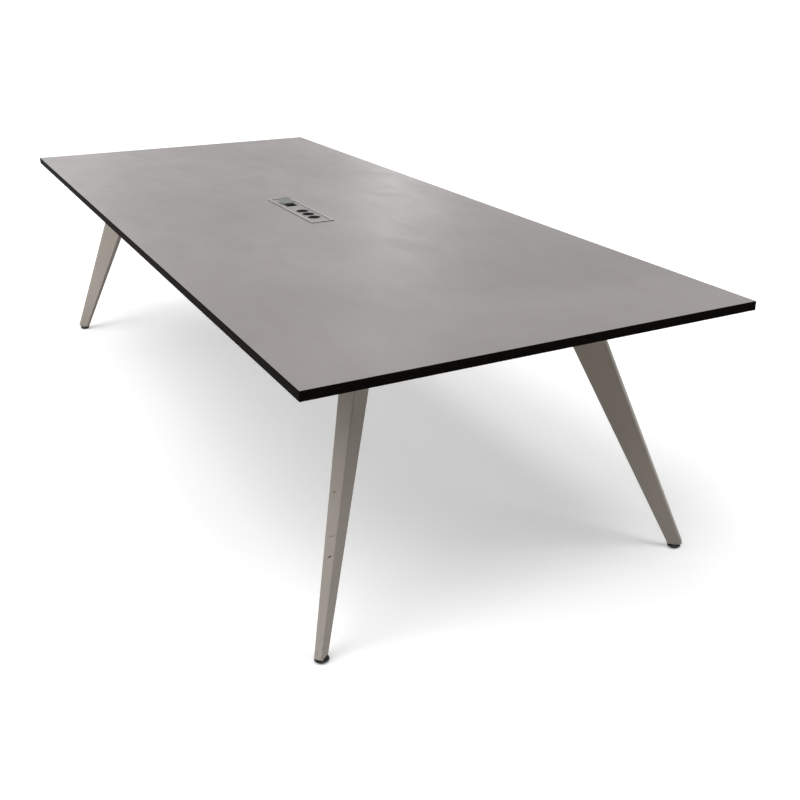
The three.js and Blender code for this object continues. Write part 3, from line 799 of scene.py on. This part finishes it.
def roundSocket(number, sizes, contact, clip):
    node = "socket_%d" % number
    low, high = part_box(node)
    centre = (low + high) / 2
    rim, recess, barrel = sizes["rim"], sizes["recess"], sizes["barrel"]
    edge, fillet = sizes["rimRound"], sizes["recessRound"]
    footEdge, shoulderEdge = sizes["footEdge"], sizes["shoulderEdge"]
    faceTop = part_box("data_block")[1].z - sizes["blockRise"]
    shoulder = faceTop - sizes["shoulder"]
    bottom = faceTop - sizes["depth"]
    profile = [(sizes["middle"], low.z), (barrel - footEdge, low.z), (barrel, low.z + footEdge),
               (barrel, shoulder - shoulderEdge), (barrel - shoulderEdge, shoulder), (rim, shoulder)]
    profile += arc(rim - edge, high.z - edge, edge, 0, 90)
    profile += arc(recess + edge, high.z - edge, edge, 90, 180)
    profile += arc(recess - fillet, bottom + fillet, fillet, 0, -90)
    profile.append((sizes["middle"], bottom))
    mesh = skin(bmesh.new(), turned(profile, sizes["sides"], centre))
    piece = newPiece("round_socket_%d" % number, mesh, "socket_black", nodes=[node])
    spots = [(centre.x + sign * contact["spacing"] / 2, centre.y) for sign in (-1, 1)]
    for spot in spots:
        bore(piece, spot, bottom, contact)
    tubes = bmesh.new()
    for spot in spots:
        contactTube(tubes, spot, bottom, contact)
    newPiece("contact_tubes_%d" % number, tubes, "zinc_steel", finish="brass")
    clips = bmesh.new()
    for sign in sides.values():
        earthClip(clips, centre, sign, bottom, faceTop, recess, clip)
    newPiece("earth_clips_%d" % number, clips, "zinc_steel")


contactSizes = dict(
    sides=24, spacing=19 * mm, bore=2.6 * mm, depth=18 * mm, overshoot=2 * mm, slack=0.1 * mm, wall=0.5 * mm,
    foot=0.5 * mm, sunk=3 * mm, mouth=0.2 * mm, mouthDepth=0.3 * mm,
)


def bore(piece, spot, bottom, contact):
    # cuts a round hole into the recess floor, and leaves the piece with a plain mesh
    data = bpy.data.meshes.new("bore")
    profile = [(contact["bore"], bottom - contact["depth"]), (contact["bore"], bottom + contact["overshoot"])]
    mesh = skin(bmesh.new(), turned(profile, contact["sides"], spot))
    bmesh.ops.recalc_face_normals(mesh, faces=mesh.faces)
    mesh.to_mesh(data)
    mesh.free()
    cutter = bpy.data.objects.new("bore", data)
    scene.collection.objects.link(cutter)
    hole = piece.modifiers.new("bore", "BOOLEAN")
    hole.object = cutter
    hole.operation = "DIFFERENCE"
    hole.solver = "EXACT"
    bpy.context.view_layer.update()
    with bpy.context.temp_override(object=piece, active_object=piece, selected_objects=[piece]):
        bpy.ops.object.modifier_move_to_index(modifier="bore", index=0)
        bpy.ops.object.modifier_apply(modifier="bore")
    bpy.data.objects.remove(cutter)
    bpy.data.meshes.remove(data)
    piece.data.set_sharp_from_angle(angle=radians(crease))


def contactTube(mesh, spot, bottom, contact):
    # a sleeve in the bore, with a widened mouth
    outer = contact["bore"] - contact["slack"]
    inner = outer - contact["wall"]
    foot = bottom - contact["depth"] + contact["foot"]
    mouth = bottom - contact["sunk"]
    section = [(inner, foot), (outer, foot), (outer, mouth), (inner + contact["mouth"], mouth),
               (inner, mouth - contact["mouthDepth"])]
    skin(mesh, turned(section, contact["sides"], spot), True)


clipSizes = dict(width=6 * mm, thick=0.8 * mm, bulge=2.2 * mm, inset=1.1 * mm, topGap=3 * mm, steps=14)


def earthClip(mesh, centre, sign, bottom, faceTop, recess, clip):
    # a sprung strip that stands on the recess floor and bows inward
    half, thick, steps = clip["width"] / 2, clip["thick"], clip["steps"]
    section = ((-half, 0), (half, 0), (half, thick), (-half, thick))
    rings = []
    for i in range(steps + 1):
        share = i / steps
        z = bottom + (faceTop - bottom - clip["topGap"]) * share
        y = recess - clip["inset"] - clip["bulge"] * sin(pi * share) ** 2
        rings.append([(centre.x + x, centre.y + sign * (y + out), z) for x, out in section])
    skin(mesh, rings)


jackSizes = dict(
    spread=8 * mm, wires=8, pitch=1.02 * mm, thick=0.45 * mm, bayDepth=12.3 * mm,
    # along the table from the bay's middle, and down from its floor into the jack
    path=[(-4.3 * mm, -2.5 * mm), (-3.4 * mm, -3.5 * mm), (0.5 * mm, -9 * mm), (0.9 * mm, -12 * mm)],
)


def jackWires(sizes):
    # a row of sprung contact wires in each jack of the data bay
    low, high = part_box("data_block")
    middle = (low.x + high.x) / 2
    bayFloor = high.z - sizes["bayDepth"]
    half = sizes["thick"] / 2
    section = ((-half, -half), (half, -half), (half, half), (-half, half))
    mesh = bmesh.new()
    for sign in sides.values():
        for i in range(sizes["wires"]):
            y = sign * sizes["spread"] + (i - (sizes["wires"] - 1) / 2) * sizes["pitch"]
            rings = [[(middle + x + a, y + b, bayFloor + z) for a, b in section] for x, z in sizes["path"]]
            skin(mesh, rings)
    newPiece("jack_wires", mesh, "zinc_steel", finish="brass")


flapSizes = dict(
    rest=12,  # degrees that the flap leans at rest
    thick=2 * mm, rounding=0.3,
    # distance from the hinge, offset across, length and width: two stiffening ribs and a finger ridge
    bars=[(25.4 * mm, -9 * mm, 26 * mm, 1.4 * mm), (25.4 * mm, 9 * mm, 26 * mm, 1.4 * mm),
          (45.8 * mm, 0, 1.6 * mm, 20 * mm)],
    # how far the bar's section draws in, and its height above the flap
    section=[(0, -0.3 * mm), (0, 0.42 * mm), (0.3 * mm, 0.7 * mm)],
)


def flapRibs(sizes):
    # on the flap's upper face, which leans up from its hinge
    low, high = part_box("flap_pin")
    hinge = (low + high) / 2
    lean = radians(sizes["rest"])
    mesh = bmesh.new()
    for far, y, length, width in sizes["bars"]:
        rings = []
        for inset, rise in sizes["section"]:
            up = sizes["thick"] / 2 + rise
            outline = roundedOutline(length - 2 * inset, width - 2 * inset,
                                     min(length, width) * sizes["rounding"], steps=3)
            rings.append([(hinge.x - (far - a) * cos(lean) + up * sin(lean), y + b,
                           hinge.z + (far - a) * sin(lean) + up * cos(lean)) for a, b in outline])
        skin(mesh, rings)
    newPiece("flap_ribs", mesh, "flap_grey", "data_flap")


pinSizes = dict(sides=24, chamfer=0.2 * mm, endShare=0.8, middleShare=0.3)


def hingePin(sizes):
    low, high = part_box("flap_pin")
    centre = (low + high) / 2
    radius = (high.z - low.z) / 2
    half = (high.y - low.y) / 2
    body = half - sizes["chamfer"]
    rim, middle = radius * sizes["endShare"], radius * sizes["middleShare"]
    profile = [(middle, -half), (rim, -half), (radius, -body), (radius, body), (rim, half), (middle, half)]
    rings = [[(centre.x + x, centre.y + z, centre.z + y) for x, y, z in ring]
             for ring in turned(profile, sizes["sides"])]
    newPiece("hinge_pin", skin(bmesh.new(), rings), "zinc_steel", nodes=["flap_pin"])


glandSizes = dict(
    sides=96, bore=5 * mm, neck=8 * mm, nut=11 * mm, edge=0.4 * mm, mouth=1.6 * mm,
    crownReach=4.2 * mm, crownHeight=4.6 * mm, crownAngles=(22, 45, 68), ribs=16, ribDepth=0.6 * mm,
    ribStart=5.2 * mm, ribStop=2 * mm, flange=1.4 * mm, sharp=50,
)


def ribbedGland(name, sizes):
    node = name + "_gland"
    low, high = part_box(node)
    boreRadius, neck, nut, edge = sizes["bore"], sizes["neck"], sizes["nut"], sizes["edge"]
    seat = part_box("module_housing")[0].z
    ribStart, ribStop = low.z + sizes["ribStart"], seat - sizes["ribStop"]
    mouth = boreRadius + sizes["mouth"]

    def ribbed(radius, z, angle):
        deep = sizes["ribDepth"] if ribStart <= z <= ribStop else 0
        return radius - deep * abs(sin(sizes["ribs"] * angle / 2))

    profile = [(boreRadius, low.z + edge), (boreRadius + edge, low.z), (mouth, low.z)]
    for angle in sizes["crownAngles"]:
        out = sizes["crownReach"] * sin(radians(angle))
        up = sizes["crownHeight"] * (1 - cos(radians(angle)))
        profile.append((mouth + out, low.z + up))
    profile += [(nut, ribStart), (nut, ribStop), (nut, seat - sizes["flange"]), (nut, seat),
                (neck, seat), (neck, high.z - edge), (neck - edge, high.z), (boreRadius, high.z)]
    mesh = skin(bmesh.new(), turned(profile, sizes["sides"], (low + high) / 2, ribbed), True)
    newPiece(name + "_gland_turned", mesh, "plug_plastic", nodes=[node], sharp=sizes["sharp"])


clampScrewSizes = dict(
    sides=60, head=4 * mm, headHeight=2.6 * mm, driveReach=1.8 * mm, driveDepth=1.2 * mm,
    clampThick=2 * mm, height=9 * mm, sharp=32,
)


def clampScrew(end, sizes):
    low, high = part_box("module_clamp_" + end)
    sign = ends[end]
    wall = (low.x if sign > 0 else high.x) + sign * sizes["clampThick"]
    z = low.z + sizes["height"]
    rings = [[(wall + sign * out, x, z + y) for x, y, out in ring] for ring in panHead(sizes, headShape)]
    newPiece("clamp_screw_" + end, skin(bmesh.new(), rings), "zinc_steel", sharp=sizes["sharp"])


moduleEdges = dict(
    bezel=0.7 * mm, bezelSegments=3, plate=0.35 * mm, block=0.3 * mm, flap=0.45 * mm, sheet=0.7 * mm,
)

dress("module_bezel", "module_silver", moduleEdges["bezel"], moduleEdges["bezelSegments"])
dress("module_face_plate", "face_silver", moduleEdges["plate"])
dress("data_block", "socket_black", moduleEdges["block"])
dress("data_flap", "flap_grey", moduleEdges["flap"], body="data_flap")
dress("module_housing", "housing_metal", moduleEdges["sheet"])
for number in (1, 2, 3):
    roundSocket(number, socketSizes, contactSizes, clipSizes)
jackWires(jackSizes)
flapRibs(flapSizes)
hingePin(pinSizes)
for name in ("power", "data"):
    ribbedGland(name, glandSizes)
for end in ends:
    dress("module_clamp_" + end, "zinc_steel", moduleEdges["sheet"])
    clampScrew(end, clampScrewSizes)
print("power module made")

# stage: a pale floor that keeps the shadow, and soft light from above

stageLook = dict(
    black=(0, 0, 0, 1), white=(1, 1, 1, 1), floorSize=400, floorShade=(0.95, 0.95, 0.95, 1),
    floorBounce=(0.45, 0.41, 0.37, 1), floorGlow=0.23, ambient=(0.09, 0.09, 0.09, 1),
)
# azimuth is counted from +X, which is the near end; angles in degrees
softLamps = dict(
    left=dict(azimuth=277, height=57, spread=50, strength=1.67),
    right=dict(azimuth=48, height=41, spread=33, strength=0.92),
    near=dict(azimuth=32, height=75, spread=21, strength=0.48),
    far=dict(azimuth=187, height=68, spread=33, strength=0.54),
)
windows = dict(
    farLeg=dict(place=(-0.6, -2.6, 0.9), aim=(-1.4, -0.5, 0.4), size=(1.2, 1.0), watts=20),
    longSide=dict(place=(0.6, -3.2, 1.4), aim=(0.4, 0, 0.4), size=(4.0, 1.6), watts=17),
    rearGleam=dict(place=(-5.7, 3.2, 2.4), aim=(-0.3, 0.5, 0.745), size=(0.4, 1.5), watts=12),
    frontGleam=dict(place=(-5.9, 0.2, 2.4), aim=(-0.9, -0.55, 0.745), size=(0.5, 1.5), watts=6),
)


def seenRays(w):
    # 1 for rays from the camera, in reflections and through glass
    direct = w.node("ShaderNodeLightPath", out="Is Camera Ray")
    glossy = w.node("ShaderNodeLightPath", out="Is Glossy Ray")
    through = w.node("ShaderNodeLightPath", out="Is Transmission Ray")
    return direct + glossy + through


def paleFloor(look):
    mesh = bmesh.new()
    bmesh.ops.create_grid(mesh, x_segments=1, y_segments=1, size=look["floorSize"] / 2)
    data = bpy.data.meshes.new("floor")
    mesh.to_mesh(data)
    mesh.free()
    floorPiece = bpy.data.objects.new("floor", data)
    scene.collection.objects.link(floorPiece)
    finish, w = newFinish("paleFloor")
    seen = seenRays(w)
    coat(finish, Base_Color=seen.tint(look["floorBounce"], look["floorShade"]), Roughness=1.0,
         Specular_IOR_Level=0.0, Emission_Color=seen.tint(look["black"], look["white"]),
         Emission_Strength=look["floorGlow"])
    data.materials.append(finish)


def setWorld(look):
    world = bpy.data.worlds.new("pale room")
    world.use_nodes = True
    scene.world = world
    w = Wire(world.node_tree)
    colour = seenRays(w).tint(look["ambient"], look["white"])
    world.node_tree.links.new(colour.socket, world.node_tree.nodes["Background"].inputs["Color"])


def placeLight(data, place, aim):
    light = bpy.data.objects.new(data.name, data)
    light.location = place
    light.rotation_euler = (Vector(aim) - Vector(place)).to_track_quat("-Z", "Y").to_euler()
    light.visible_camera = False
    scene.collection.objects.link(light)


def setLamp(name, lamp):
    data = bpy.data.lights.new(name + " lamp", "SUN")
    data.angle = radians(lamp["spread"])
    data.energy = lamp["strength"]
    azimuth, height = radians(lamp["azimuth"]), radians(lamp["height"])
    placeLight(data, (cos(azimuth) * cos(height), sin(azimuth) * cos(height), sin(height)), (0, 0, 0))


def setWindow(name, window):
    data = bpy.data.lights.new(name + " window", "AREA")
    data.shape = "RECTANGLE"
    data.size, data.size_y = window["size"]
    data.energy = window["watts"]
    placeLight(data, window["place"], window["aim"])


paleFloor(stageLook)
setWorld(stageLook)
for name, lamp in softLamps.items():
    setLamp(name, lamp)
for name, window in windows.items():
    setWindow(name, window)
print("stage lit")
